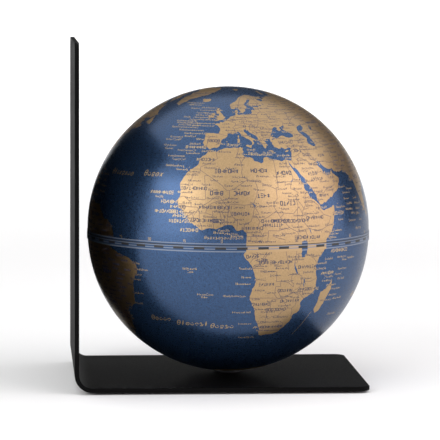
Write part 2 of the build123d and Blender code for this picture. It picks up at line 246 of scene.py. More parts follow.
# Land borders, then rivers. Each is an open line on a row of its own, and a row that starts with a space goes on
# with the line before it.
BORDERS_AND_RIVERS = [pairs(row) for row in re.split("\n(?! )", """
-22 351 -18 333 -13 323 -35 310 -55 299 -87 287 -87 260 -120 260 -120 234 -130 230 -131 213 -170 212
-132 277 -87 277
-87 273 -48 250 12 211 18 203 32 191 42 192 58 195 120 235
-48 250 -65 250 -55 165 -55 155 -105 154 -122 148 -145 166 -164 161
86 369 83 350 75 338 90 321 95 303 99 280 95 264 100 245 120 235 142 226 150 230 240 195
95 303 103 317 114 324 115 332
240 195 240 200 250 200 250 292 249 316
250 220 369 220
150 230 159 204 155 170 136 137 100 133 65 136 41 135 36 117 27 80 27 64
42 192 42 168 35 154 2 150 10 133 24 120 36 117
2 150 -25 142 -43 131 -55 110 -55 104 -82 103 -83 114 -90 124 -114 124 -115 140 -122 148
-114 124 -137 126 -167 124
-167 135 -138 135
-137 126 -140 116 -150 109
-132 91 -112 100 -103 85 -92 74 -83 76 -82 103
-103 85 -114 69
-83 76 -75 58 -75 44
-55 104 -28 96 -30 70 -28 51
-28 96 -28 110 0 111 3 90 7 70 12 61
0 111 9 110 16 90 16 62
9 110 24 120
136 137 140 126 132 100 120 75 95 65 86 48
140 128 150 110 155 100 140 99 155 75 145 55 162 22 98 23
113 22 113 10 98 10
155 75 190 90 229 110 242 87 274 51 225 41 186 43 186 35 165 35 162 22
240 195 240 157 224 140 220 127 229 110
186 35 178 5 162 -22 153 -43 130 -46 122 -58
133 22 140 14 138 -2 144 -19 125 -23 111 -39
242 87 260 102 300 99 330 122 341 95 343 107 361 127 365 143 370 170 386 180
365 143 395 145 424 124 418 110 432 114
418 110 428 105 440 90 479 80 450 50 419 40 390 35 360 45
341 95 330 78 350 55 360 45 340 42 310 37 308 35 274 51
419 40 410 28 410 -9 416 -17
340 42 349 15 339 1
339 -10 376 -30 392 -47
308 35 312 22 297 0 296 -14 290 -27 293 -44 300 -44 308 -24 305 -11
296 -14 305 -11 339 -10
290 -27 308 -24
307 -83 289 -85 284 -93 286 -115 298 -122 298 -134 284 -125 272 -116 253 -112 240 -109
312 -87 329 -94 333 -124 327 -137 302 -149 304 -157 313 -162 329 -167 328 -190 325 -213 313 -224
346 -115 375 -117 404 -104
349 -142 359 -148 352 -171 345 -146 330 -140
253 -178 270 -179 289 -159 304 -157
313 -224 294 -222 277 -205 253 -178 234 -176 185 -174 140 -174 118 -173
294 -222 270 -236 256 -256 227 -258 208 -269 200 -248
165 -286 182 -289 200 -284 200 -220 210 -220 210 -183 245 -179 253 -178
234 -176 220 -162 220 -130 240 -130 240 -109 222 -112 218 -73 195 -70 170 -75 165 -59 132 -59 123 -60
313 -224 320 -244 320 -260 329 -268
270 -296 286 -286 294 -296 281 -306 270 -296
-88 419 -65 417 -70 395 -74 372
-18 434 7 428 32 424
75 438 69 459 61 464 76 476 82 490 61 495 26 510
61 495 61 510 70 524 72 532
69 459 92 462 105 468 137 465 136 458
76 476 96 475 130 476 138 487 121 503 148 510 143 539
148 510 188 495 225 491 236 515 235 540 199 544
138 487 170 481 188 495
170 481 222 484 203 462 165 465 161 468 170 481
225 491 222 484 266 483 282 455
203 462 227 442 286 438
227 442 224 423 229 413 263 417 280 420
263 417 262 408
161 468 160 452 190 449 194 433 185 425
205 420 210 408 202 397
210 408 229 413
236 515 306 513 318 521 309 556 266 557 235 540
210 561 266 557 282 561 274 575 244 579
274 575 280 594
318 521 355 504 401 496 382 471
280 605 315 629 295 660 286 690 310 700
112 590 122 615 140 650 170 682 205 691 240 680 241 658
205 691 257 698 286 690
360 359 370 367 423 372 448 372 445 397 435 411 415 415
435 411 450 413 465 418 485 418
400 435 440 426 465 418
445 397 465 389 489 384
423 372 410 344 388 334 360 325 356 330
388 334 392 321 370 315 380 305 360 292 350 294
392 321 420 311 447 292 465 291 484 285
448 372 462 351 455 339 477 315 485 299
343 313 349 295
428 164 440 174 470 170 490 186 520 190 531 167
520 190 550 200 556 220 552 227 526 229 515 243
552 227 563 249
539 373 572 383 612 366 610 345 609 315 618 308 609 298 632 272 617 251
612 366 645 371 678 372 715 365 745 372 710 340 695 320 663 298 609 298
745 372 778 355 745 330 745 310 710 280 700 255 710 243 682 237
560 413 585 426 610 412 665 374
525 418 560 413 560 450 610 444 660 420 690 413 735 425 800 422 802 450 855 470 873 491
492 464 470 480 468 499 510 515 550 510 610 507 615 540 710 542 770 535 873 491
873 491 920 507 980 500 1020 514 1080 495 1165 498 1200 528 1260 528 1310 478 1350 484 1310 430
873 491 910 452 965 427 1050 417 1115 440 1165 465 1165 498
778 355 790 325 815 302 880 279 920 278 973 283 987 240 1010 215 1055 232 1080 216
815 302 802 288 840 274 880 264 880 279
889 217 882 255 923 252 925 220
973 283 945 250 925 220
1010 215 1003 204 980 195 985 165 992 105
1010 215 1040 180 1060 150 1075 145 1070 120 1045 105
1025 122 1030 143 1055 144
1245 401 1270 417 1307 423
1266 378 1284 386
1002 66 1021 62
1410 -26 1410 -91
1096 20 1145 14 1155 43 1178 42
-1410 697 -1410 603 -1355 596 -1300 559
-1230 490 -952 490 -895 480 -845 465 -825 453 -824 430 -830 420 -790 428 -764 440 -715 450 -702 464 -678 471 -672 450
-1170 325 -1110 313 -1065 318 -1030 290 -1014 298 -992 264 -972 259
-922 145 -910 178 -892 178 -883 185
-893 144 -875 130
-832 150 -875 130
-837 110 -857 111
-774 86 -779 73
-715 120 -725 80 -675 62 -670 12 -698 10 -700 -42 -750 -1 -775 5 -788 15
-600 83 -610 52 -640 40 -634 22 -670 12
-610 52 -598 20 -565 19 -525 23 -517 42
-572 59 -572 34 -565 19
-540 57 -545 23
-750 -1 -778 -30 -803 -34
-700 -42 -730 -75 -705 -95 -695 -110 -653 -100 -602 -140 -582 -175 -578 -200 -580 -221 -543 -241 -546 -256 -537 -272
 -576 -302 -534 -337
-695 -110 -690 -155 -695 -175 -680 -210 -670 -228 -627 -222 -580 -200
-627 -222 -577 -253 -546 -256
-703 -183 -695 -175
-670 -228 -698 -330 -715 -400 -717 -470 -730 -500 -684 -523
-576 -302 -582 -335
-686 -527 -686 -549
312 314 308 292 318 265 328 241 312 218 305 195 320 190 339 178 325 156 326 125 315 95 313 60 317 30
325 156 343 130 352 112 373 117
-105 95 -80 122 -40 145 -10 168 0 168 33 125 50 90 67 76 61 46
124 -60 153 -43 177 -10 210 20 250 10 258 -25 268 -70
362 -187 335 -163 304 -157 280 -167 253 -178 230 -145
82 481 125 487 165 482 190 474 192 453 227 445 260 438 283 453 296 452
478 458 450 486 470 510 486 535 490 558 440 563 390 579
483 302 460 312 442 330 410 347 384 362 390 394
480 305 455 325 430 365 405 380
895 225 880 250 820 258 780 298
677 240 685 280 715 325 725 350
-505 -5 -550 -22 -600 -32 -650 -35 -700 -42 -735 -45
-900 295 -912 330 -893 370 -910 410 -940 450
""".strip())]
# A thin line printed across the sea.
SEA_LINE = pairs("430 -247 406 -300 381 -353")

# Printed names, each a row of marks, placed in degrees. Kinds: C large capitals, c small capitals, t town, O ocean,
# o gulf or sea. A row of no marks only keeps the small names clear of its place.
NAMES = rows_of_marks("""
C 3 27 7 17.5 27.2 5 29 26 5 -.8 18 4 9.5 18 5 18.5 17 4 28.5 13.8 5 c -10.5 19.8 10 -6.5 31.8 7 8.3 10.2 7 39.5 8.2 8
38 1.4 5 32.3 1.6 6 20 7.6 7 24 7.6 7 21 6.2 8 31 7.4 11 12.5 5.2 8 44 25.2 5 45.5 23 6 47 16.2 5 34.5 39 6 54 32.7 4
-4 40 5 -12.5 37 8 18.2 -12 6 17 -20 7 26.5 -14.6 6 35 -6 8 12.4 -1.6 5 15.8 -2.9 5 21.5 -3.8 13 53.3 9.1 7 -20.5 14.2
7 -12.5 4.4 7 -24.5 17.8 10 -16 9.2 6 24 -22.6 8 29.5 -19 8 22.5 -30.5 12 37.5 -14.6 10 5 -27.2 0 34 -24 0 -1.5 12.4
12 -1 7.6 5 -5.6 7.8 11 51.5 -.9 10 46 -9 7 44.5 33.3 4 39 35.2 5 47 29.3 6 t -1 33.6 0 -5 30.2 8 -11.3 26.8 7 -12
25.4 8 -14.2 18.2 10 c -16.9 12.4 6 -20.8 10.6 12 -15.4 7.4 10 t -25.5 16.1 6 -21 29 12 -17.1 27.5 8 -21.5 33.1 11 -27
37.6 9 -27 36.2 6 -19.8 31.7 9 -13.5 34.4 9 -17 35.6 12 -13.5 38.5 7 -17.5 42 8 -15 43.4 14 -18 45 16 -23 46.4 18 -21
47.6 14 -22 48.8 16 -24 50 14 -25.5 41.5 9 -26.5 40.2 11 -11.5 47.4 14 -10.8 48.8 12 -13 51 18 -12 52.4 16 -12 53.8 14
-13 55.2 12 -9.5 57.2 14 -12 59 10 -28 62.5 12 2 35.2 8 6.8 38.5 9 6 37.9 7 12 34.2 10 10.2 32.8 8 15.5 30.2 0 15.8
34.8 6 19 34 12 21.5 33.8 10 15 36.1 5 24 34.7 8 30.8 33.4 9 29.5 30 5 30 28.7 7 26.5 22.4 7 27 21.2 0 34 19.4 6 31.5
16.6 8 31.5 15.3 8 38 15.8 7 38.5 14 8 44.5 14.7 5 44 11.6 9 38.5 9.8 11 33 9.3 9 45.5 3 8 46.5 5.4 8 48 2.1 9 39 -2.2
7 35.5 -1.6 7 35.8 -8 8 41.5 -7 10 42 -5 8 30.5 -3 8 29 -1.9 9 24 -6 9 26.8 -10.8 8 15.6 -5 8 18.3 -7 9 9.7 -5.9 8
10.2 -9.1 6 8.9 -11.6 9 15.6 -10 7 15.8 -14.2 6 5.7 -16.4 14 14.5 -17.8 5 8.9 -23.5 11 17 -22.2 8 20.5 -23.5 9 10.8
-28.7 8 18.5 -28 7 23.5 -28.2 12 27 -26.2 10 20 -32 8 24.5 -32.2 9 12.5 -35.6 10 27.5 -17 8 31.5 -17.6 7 32 -15.4 9
33.2 -12.2 7 34.2 -20.6 0 37.5 -16.4 9 -11.5 -6.2 9 -11.3 -7.3 4 -6.1 -15.9 10 -6.3 -17 4 47 -10.5 8 49.5 -20 11 53
-18 8 54 -15.5 9 57.5 -19.8 10 51 3.2 8 60 -4.2 9 55.5 -4.6 5 63 12 7 64.5 8.5 6 8 12.6 7 7.5 8.3 6 3 9.3 5 4 7.4 6
9.2 6.8 6 5.8 14.6 7 -7.8 13.6 7 -9.5 10.9 8 -12.6 10.4 7 -11.4 8.6 9 -6.4 6.1 9 1.3 14.4 8 15.5 12.8 9 19.6 13 10
15.5 9.2 7 14.8 2.8 9 12.6 3.9 8 17 .6 13 12.6 .8 8 16 -.6 12 25.5 4.9 7 27 3.2 9 23 2.6 8 24 10.6 6 26.4 11.8 7 7.5 4
0 3.5 3.4 9 6 2.6 8 -1 3.7 6 1.2 4.5 7 2 46.8 6 2.3 48.7 5 9.5 51.4 9 12 52.6 8 19.5 52.3 7 14.6 49.9 8 25 50.4 9 31.5
49.5 9 36 51.3 8 16 47.2 8 21.5 46.8 8 26 45.8 8 21 44 8 25.3 42.6 8 9.8 44.9 5 13.2 42.6 6 22 40.3 7 4.6 45.2 6 4.2
50.8 8 10 55.9 6 15.5 58.6 8 16 61.5 8 9.5 61.2 6 26.5 62.5 8 26.6 60.8 8 31.5 58.4 10 38 55.8 8 45 54.4 9 49 57.2 9
55 55 10 44 48.4 8 52 52.2 9 60 57 10 62 53 9 32 41 7 41 39.8 8 45.2 40.2 7 44.5 42.4 7 37.5 37.4 8 44.5 35.6 8 50.5
35.6 7 56 36.3 8 52 30.3 8 58.5 29.6 8 60.5 34 9 66 33.5 9 58 40 10 62 42.6 9 67 48 10 72 51 9 40.5 31.2 7 42 27.6 9
46.5 26 8 49.5 21.8 8 52.5 24.9 8 54.8 23.4 6 56.6 21.5 5 51.5 18.2 7 48 14.5 0 44.6 18 7 41 22.4 7 38.2 29.8 8 47
31.4 7 63.5 26.5 8 67 27.5 8 71.5 29.6 8 60 19 9 62.5 16.5 9 c 66 20.4 0 O -50 24.8 8 -30.4 25.3 5 -28.4 -27.4 5 -13
-28.8 7 .8 -29.7 5 o 1 2 14 60 -27 6 68 3 5 t -35 -5.4 6 -33 -7.6 11 -34.6 -9.6 6 -36.5 -11.5 8 -37 -17 9 -38.5 -21.5
7 C -55 -10 6 c -64 -36 9 -72 -30 5 -75 -10 4 -66 7 9 -74 4 8 -60 -23 8 C -110 57 6 -100 40 6 -103 24 6 c -42 72 9 O
-130 0 7 -118 0 5 165 15 7 178 15 5 C 100 62 6 103 35 5 78 22 5 c 104 47 8 C 134 -25 9 c 101 15.5 8 138 36 5 114 -1 9
68 48 10 O 80 -20 6 92 -20 5 c 90 -78 10 -90 -78 10
""")

# Areas filled with rows of small names: west, east, south, north and row spacing, in degrees. The first is for
# land only, and the others are crowded stretches of sea.
WHOLE_GLOBE = (-180, 180, -54, 74, 1.75)
CROWDED_SEAS = (
    (-27, -9, 36.5, 63, 1.45), (-6, 8, 1, 3.5, 1.4), (43, 56, -14, 12, 2.1), (58, 76, 6, 20, 2.0),
    (18, 34, 32.5, 35.5, 1.5), (-82, -62, 14, 27, 2.2), (118, 150, -8, 18, 2.6),
)


# ------------ globe sizes, read off the frame
north_low, north_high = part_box("north_shell")
R = round((north_high.x - north_low.x) / 2, 5)
SEAM = north_low.z
NORTH_CENTRE = north_high.z - R
SOUTH_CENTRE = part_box("south_shell")[1].z
WALL = 0.0018
INNER_R = R - WALL
# A millimetre on the surface, in degrees of meridian.
MM = degrees(0.001 / R)

# A point on a half shell is (arc, turn): degrees of meridian from its own pole, and degrees round
# the axis from the front (-Y) towards +X. Past 90 degrees of arc it runs straight down the lip.
POLE_TO_MIDDLE = 90 + degrees((NORTH_CENTRE - SOUTH_CENTRE) / 2 / R)
# The arcs where the printed surfaces end: the two lips, and the hole in the south pole, 4.05 mm in radius.
NORTH_EDGE, SOUTH_EDGE, POLE_HOLE = 91.0, 89.5, degrees(0.00405 / R)
# Points round a lip, and round the hole and each plain ring inside.
RIM_STEPS, INNER_STEPS = 180, 60

# Latitudes, and the height of each from the globe's middle in degrees of meridian. The printed halves
# are drawn a little long and stop at the edges of the equator tape.
NORTH_SCALE = ([-90, 0, 12, 30, 47, 66, 90], [-99, -0.2, 13.3, 31.4, 49.6, 68.4, POLE_TO_MIDDLE])
SOUTH_SCALE = ([-90, 0, 9, 15, 20, 26, 34.5, 90], [-95, 3.7, 13.5, 20.1, 25.5, 31.7, 41.5, POLE_TO_MIDDLE])
# How far each half is turned to the west, and how far its print strays from that, in degrees. The
# northern half strays near the equator, most of all at the Horn of Africa.
NORTH_TURN, SOUTH_TURN, SOUTH_STRAY = 8.3, 7.6, 2.6
NORTH_STRAY, HORN_STRAY, HORN, HORN_WIDTH, STRAY_BELOW = 1.5, 1.6, 44, 9, 15


def to_shell(longitude, latitude, north):
    """A place on the map as (arc, turn) on a half shell."""
    if north:
        stray = NORTH_STRAY + HORN_STRAY * exp(-(((longitude - HORN) / HORN_WIDTH) ** 2))
        turn = longitude - NORTH_TURN + stray * min(max(1 - latitude / STRAY_BELOW, 0), 1)
        return POLE_TO_MIDDLE - float(np.interp(latitude, *NORTH_SCALE)), turn
    turn = longitude - SOUTH_TURN + SOUTH_STRAY * sin(radians(longitude))
    return POLE_TO_MIDDLE - float(np.interp(-latitude, *SOUTH_SCALE)), turn


def flat(arc, turn):
    """The half shell laid flat round its pole."""
    return arc * sin(radians(turn)), -arc * cos(radians(turn))


def raised(x, y, north, radius):
    """A point of the flat disc back on the shell, with its outward normal."""
    arc = hypot(x, y)
    ux, uy = (x / arc, y / arc) if arc > 1e-9 else (0.0, -1.0)
    sign = 1 if north else -1
    centre = NORTH_CENTRE if north else SOUTH_CENTRE
    across, along = (sin(radians(arc)), cos(radians(arc))) if arc < 90 else (1.0, 0.0)
    drop = R * radians(max(arc - 90, 0))
    normal = (ux * across, uy * across, sign * along)
    return (radius * normal[0], radius * normal[1], centre + radius * normal[2] - sign * drop), normal


def inside(outline, points):
    """Even-odd test of many points against one outline."""
    hit = np.zeros(len(points), bool)
    px, py = points[:, 0], points[:, 1]
    low, high = outline.min(0), outline.max(0)
    near = (px >= low[0]) & (px <= high[0]) & (py >= low[1]) & (py <= high[1])
    px, py = px[near], py[near]
    odd = np.zeros(len(px), bool)
    for (x0, y0), (x1, y1) in zip(outline, np.roll(outline, -1, 0)):
        if y0 != y1:
            odd ^= ((y0 > py) != (y1 > py)) & (px < (x1 - x0) * (py - y0) / (y1 - y0) + x0)
    hit[near] = odd
    return hit


def on_land(points, lands=LANDS, waters=WATERS, shifts=(0, 360)):
    """True for each point on land. A point is (longitude, latitude), or flat like the outlines given."""
    dry = np.zeros(len(points), bool)
    for outline in lands:
        for shift in shifts:
            dry |= inside(np.array(outline), points + (shift, 0))
    for outline in waters:
        dry &= ~inside(np.array(outline), points)
    return dry


# ------------ what is drawn on the map
# Degrees between the points added to a coast, its wander as a part of each side and at most, and
# the longest side that is a coast.
COAST_STEP, COAST_WANDER, COAST_WANDER_MOST, COAST_LONGEST = 0.7, 0.1, 0.3, 25
# Widths of the drawn lines.
BORDER_WIDTH, SEA_LINE_WIDTH, FIGURE_PEN = 0.26 * MM, 0.2 * MM, 0.16 * MM


def coast(outline, north, edge, dice):
    """One closed outline in the flat disc, its long sides broken up and wandering a little as a coast does."""
    corners = [flat(*to_shell(lon, lat, north)) for lon, lat in outline]
    out = []
    for (x0, y0), (x1, y1) in zip(corners, corners[1:] + corners[:1]):
        out.append((x0, y0))
        length = hypot(x1 - x0, y1 - y0)
        if min(hypot(x0, y0), hypot(x1, y1)) > edge + 1 or length > COAST_LONGEST:
            continue
        pieces = int(length / COAST_STEP)
        for i in range(1, pieces):
            t = i / pieces
            push = dice.uniform(-1, 1) * min(COAST_WANDER * length, COAST_WANDER_MOST) / length
            out.append((x0 + (x1 - x0) * t - (y1 - y0) * push, y0 + (y1 - y0) * t + (x1 - x0) * push))
    return np.array(out)


def stroke(start, end, width, place, slant=0.0):
    """A straight pen stroke as a quad. start and end are in degrees right of and above place, an
    (arc, turn, sign) whose sign is -1 in the south."""
    (u0, v0), (u1, v1) = start, end
    length = hypot(u1 - u0, v1 - v0)
    nu, nv = -(v1 - v0) / length * width / 2, (u1 - u0) / length * width / 2
    arc, turn, sign = place
    quad = []
    for u, v in ((u0 - nu, v0 - nv), (u1 - nu, v1 - nv), (u1 + nu, v1 + nv), (u0 + nu, v0 + nv)):
        quad.append(flat(arc - sign * v, turn + (u + slant * v) / sin(radians(arc - sign * v))))
    return quad[::sign]


def ribbon(line, north, width):
    """An open line on the map as a chain of quads."""
    points = [to_shell(lon, lat, north) for lon, lat in line]
    sign = 1 if north else -1
    quads = []
    for (a0, t0), (a1, t1) in zip(points, points[1:]):
        if min(a0, a1) < NORTH_EDGE:
            across = (t1 - t0) * sin(radians((a0 + a1) / 2))
            quads.append(stroke((0, 0), (across, sign * (a0 - a1)), width, (a0, t0, sign)))
    return quads


# Pen strokes of the marks that stand for printing, in a box one wide and one high, and the marks made
# of them. No mark is a letter.
PEN = {
    "l": ((0, 0), (0, 1)), "r": ((1, 0), (1, 1)), "t": ((0, 1), (1, 1)), "m": ((0, 0.5), (1, 0.5)),
    "b": ((0, 0), (1, 0)), "u": ((0, 0), (1, 1)), "c": ((0.5, 0), (0.5, 1)),
    "x": ((-0.2, 0.5), (1.2, 0.5)), "h": ((0, 0.3), (1, 0.3)), "k": ((0, 0.7), (1, 0.7)),
}
SHAPES = "lrtb lrx lrmtb chk lm tmb rm cb lrtb hku lhk tbr lr rhk mu".split()


def arc_line(start, end, middle=(0.5, 0.5), reach=0.5, steps=7):
    """Points on an ellipse in the mark's box, from one angle to another in degrees."""
    angles = [radians(start + (end - start) * i / steps) for i in range(steps + 1)]
    return [(middle[0] + reach * cos(angle), middle[1] + 0.5 * sin(angle)) for angle in angles]


def bar(left, right, height):
    return [(left, height), (right, height)]


# Rounder marks for the oceans, each a few lines of points: rings, arches, bowls and bars. The first
# is the tall one. No two points that follow each other may be the same.
ROUND_MARKS = (
    (arc_line(0, 360, steps=12), bar(-0.15, 1.15, 0.5)),
    (arc_line(180, 0, (0.5, 0.4)), bar(0.3, 0.7, 0.1)),
    (arc_line(180, 360, (0.5, 0.6)), bar(0.3, 0.7, 0.9)),
    (arc_line(-70, 70, (-0.1, 0.5)), arc_line(110, 250, (1.1, 0.5))),
    (arc_line(0, 360, steps=10), bar(0.38, 0.62, 0.5)),
    ([(0.4, -0.1), (0.4, 1.5)], bar(0.1, 0.7, 0.5), bar(0.1, 0.7, 0.9)),
    (arc_line(180, 0, (0.25, 0.6), 0.25, 5) + arc_line(180, 360, (0.75, 0.6), 0.25, 5)[1:], bar(0.05, 0.95, 0)),
    (arc_line(165, 15), bar(0.05, 0.95, 0.35), bar(0.05, 0.95, 0)),
)
# Kind of name: height and spacing of its marks and width of the pen, in millimetres, and its slant.
KINDS = {
    "C": (1.7, 1.5, 0.38, 0), "c": (1.35, 1.2, 0.29, 0), "t": (1.05, 0.74, 0.19, 0),
    "O": (2.7, 2.15, 0.34, 0.25), "o": (1.4, 1.25, 0.17, 0.25),
}
# Width of a mark as a part of the spacing, height of a small one as a part of the height, and how many are small.
MARK_WIDTH, SMALL_MARK, SMALL_SHARE = 0.68, 0.62, 0.8
# Marks in a small name, degrees from one small name to the next, and the least gap above and beside a name.
SMALL_COUNT, SMALL_APART, GAP_ABOVE, GAP_BESIDE = (5, 9), (6.5, 9.5), 0.5, 0.3


def small_names():
    """Rows of small names over all the land and the crowded seas, clear of the names that have their own place."""
    dice = random.Random(11)
    spots = []
    for block in (WHOLE_GLOBE,) + CROWDED_SEAS:
        west, east, south, north, step = block
        lat = south
        while lat < north:
            lon = west + dice.uniform(0, 5)
            while lon < east:
                spots.append((lon, lat + dice.uniform(-0.2, 0.2), dice.randint(*SMALL_COUNT), block is WHOLE_GLOBE))
                lon += dice.uniform(*SMALL_APART) / cos(radians(lat))
            lat += step
    dry = on_land(np.array([spot[:2] for spot in spots]))

    def half_size(kind, count):
        return count * KINDS[kind][1] * MM / 2, KINDS[kind][0] * MM / 2

    taken = [(lon, lat, *half_size(kind, count)) for kind, lon, lat, count in NAMES]
    for (lon, lat, count, for_land), land_here in zip(spots, dry):
        half, half_height = half_size("t", count)
        clear = all(
            abs(lat - b) > high + GAP_ABOVE or abs(lon - a) * cos(radians(lat)) > half + wide + GAP_BESIDE
            for a, b, wide, high in taken
        )
        if land_here == for_land and clear:
            taken.append((lon, lat, half, half_height))
            yield "t", lon, lat, count


def name_strokes(north):
    """Every name on one half, as a row of marks."""
    dice = random.Random(7)
    quads = []
    sign = 1 if north else -1
    for kind, lon, lat, count in NAMES + list(small_names()):
        at_sea = kind in "Oo"
        height, pitch, pen = (size * MM for size in KINDS[kind][:3])
        marks = [dice.randrange(1, len(ROUND_MARKS)) if at_sea else dice.randrange(len(SHAPES)) for _ in range(count)]
        swells = [dice.random() > SMALL_SHARE for _ in range(count)]
        if (lat > 0) != north:
            continue
        arc, turn = to_shell(lon, lat, north)
        left = -pitch * count / 2
        for i, (mark, swell) in enumerate(zip(marks, swells)):
            if at_sea:
                tall = i == 0
                lines = ROUND_MARKS[mark if i else 0]
            else:
                tall = i == 0 or swell or kind in "Cc"
                lines = [PEN[line] for line in (SHAPES[mark][:2] if kind == "t" else SHAPES[mark])]
            rise = height if tall else height * SMALL_MARK
            for line in lines:
                spots = [(left + pitch * (i + MARK_WIDTH * u), rise * v - height / 2) for u, v in line]
                for start, end in zip(spots, spots[1:]):
                    quads.append(stroke(start, end, pen, (arc, turn, sign), KINDS[kind][3]))
    return quads


# Seven-stroke figures: top, two upper sides, middle, two lower sides, foot.
SEVEN = (
    ((0, 1), (1, 1)), ((0, 0.5), (0, 1)), ((1, 0.5), (1, 1)), ((0, 0.5), (1, 0.5)),
    ((0, 0), (0, 0.5)), ((1, 0), (1, 0.5)), ((0, 0), (1, 0)),
)
# The figures 0 to 9, as strokes of those seven.
FIGURES = "012456 25 02346 02356 1235 01356 013456 025 0123456 012356".split()
# In millimetres: from one figure to the next, their height, and how far they stand above the tape.
# Their width is a part of the pitch.
FIGURE_PITCH, FIGURE_HEIGHT, FIGURE_FOOT, FIGURE_WIDTH = 0.95, 1.15, 0.25, 0.62


def figure_strokes():
    """The longitude figures that stand on the equator tape, every 15 degrees."""
    quads = []
    for lon in range(-165, 181, 15):
        place = (*to_shell(lon, 0, True), 1)
        text = str(abs(lon))
        for i, figure in enumerate(text):
            left = i - len(text) / 2
            for part in FIGURES[int(figure)]:
                start, end = (
                    ((left + FIGURE_WIDTH * u) * FIGURE_PITCH * MM, (FIGURE_FOOT + FIGURE_HEIGHT * v) * MM)
                    for u, v in SEVEN[int(part)]
                )
                quads.append(stroke(start, end, FIGURE_PEN, place))
    return quads


# ------------ one half of the globe
OCEAN, LAND, BORDER, INK_DARK, INK_GOLD = range(5)
# Degrees between the rings of spare points that keep the triangles small, and between a ring's points.
RINGS_APART, POINTS_APART = 2.4, 2.6


def in_half(line, north):
    """Whether an outline or an open line may reach this half."""
    latitudes = [latitude for _, latitude in line]
    return max(latitudes) > -2 if north else min(latitudes) < 4


def circle(arc, count, offset=0.0):
    """Points round the pole in the flat disc."""
    return [flat(arc, 360 * (i + offset) / count) for i in range(count)]


def cut_map(north):
    """The printed map laid flat: its points, its triangles, and the material of each."""
    edge = NORTH_EDGE if north else SOUTH_EDGE
    dice = random.Random(3)
    lands, waters = (
        [coast(outline, north, edge, dice) for outline in table if in_half(outline, north)]
        for table in (LANDS, WATERS)
    )
    rim = circle(edge, RIM_STEPS)
    hole = [] if north else circle(POLE_HOLE, INNER_STEPS)
    verts, edges, faces, inks = [], [], [], []
    for loop in [rim, hole] + lands + waters:
        first = len(verts)
        verts.extend(Vector(point) for point in loop)
        edges.extend((first + i, first + (i + 1) % len(loop)) for i in range(len(loop)))
    arc = 2.5 if north else POLE_HOLE + 1.2
    while arc < edge - 1:
        count = max(8, round(2 * pi * arc / POINTS_APART))
        verts.extend(Vector(point) for point in circle(arc, count, 0.5))
        arc += RINGS_APART

    rows = [row for row in BORDERS_AND_RIVERS if in_half(row, north)]
    lines = [quad for row in rows for quad in ribbon(row, north, BORDER_WIDTH)]
    marks = ribbon(SEA_LINE, north, SEA_LINE_WIDTH) + name_strokes(north) + (figure_strokes() if north else [])
    for ink, quads in ((BORDER, lines), (INK_DARK, marks)):
        for quad in quads:
            # A stroke that would cross the edge is left out.
            arcs = [hypot(x, y) for x, y in quad]
            if max(arcs) > edge - 0.05 or (hole and min(arcs) < POLE_HOLE + 1):
                continue
            faces.append(list(range(len(verts), len(verts) + 4)))
            verts.extend(Vector(point) for point in quad)
            inks.append(ink)
    points, _, triangles, _, _, origins = delaunay_2d_cdt(verts, edges, faces, 0, 1e-3, True)

    points = np.array([tuple(point) for point in points])
    centres = np.array([points[list(triangle)].mean(0) for triangle in triangles])
    on_disc = inside(np.array(rim), centres)
    if hole:
        on_disc &= ~inside(np.array(hole), centres)
    dry = on_land(centres, lands, waters, (0,))
    built, slots = [], []
    for k in np.flatnonzero(on_disc):
        built.append(list(triangles[k])[:: 1 if north else -1])
        ink = max((inks[i] for i in origins[k]), default=OCEAN)
        if ink == INK_DARK:
            slots.append(INK_DARK if dry[k] else INK_GOLD)
        else:
            slots.append((ink or LAND) if dry[k] else OCEAN)
    return points, built, slots


def open_rims(faces, verts):
    """The open edges of the map's triangles, in order round the axis: the lip's, and the hole's near the pole."""
    sides = {(face[i], face[i - 2]) for face in faces for i in range(3)}
    rim = {i for side in sides if side[::-1] not in sides for i in side}
    ordered = sorted(rim, key=lambda i: atan2(verts[i][0], -verts[i][1]))
    return [i for i in ordered if hypot(*verts[i]) > 45], [i for i in ordered if hypot(*verts[i]) < 45]


def bridge(a, b, angle_a, angle_b):
    """Triangles between two closed rings, each given in order round the axis."""
    faces, i, j = [], 0, 0
    while i < len(a) or j < len(b):
        next_a = angle_a[i + 1] if i + 1 < len(a) else angle_a[0] + 2 * pi
        next_b = angle_b[j + 1] if j + 1 < len(b) else angle_b[0] + 2 * pi
        if j >= len(b) or (i < len(a) and next_a <= next_b):
            faces.append((a[i % len(a)], b[j % len(b)], a[(i + 1) % len(a)]))
            i += 1
        else:
            faces.append((a[i % len(a)], b[j % len(b)], b[(j + 1) % len(b)]))
            j += 1
    return faces


def globe_piece(name, verts, faces, slots, materials, node):
    """A mesh with a material for each face, which turns with the globe and stands for a CAD node."""
    mesh = bpy.data.meshes.new(name)
    mesh.from_pydata(verts, [], faces)
    mesh.polygons.foreach_set("material_index", slots)
    for made in materials:
        mesh.materials.append(made)
    piece = put(name, mesh)
    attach(piece, "globe")
    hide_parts(node)
    return mesh


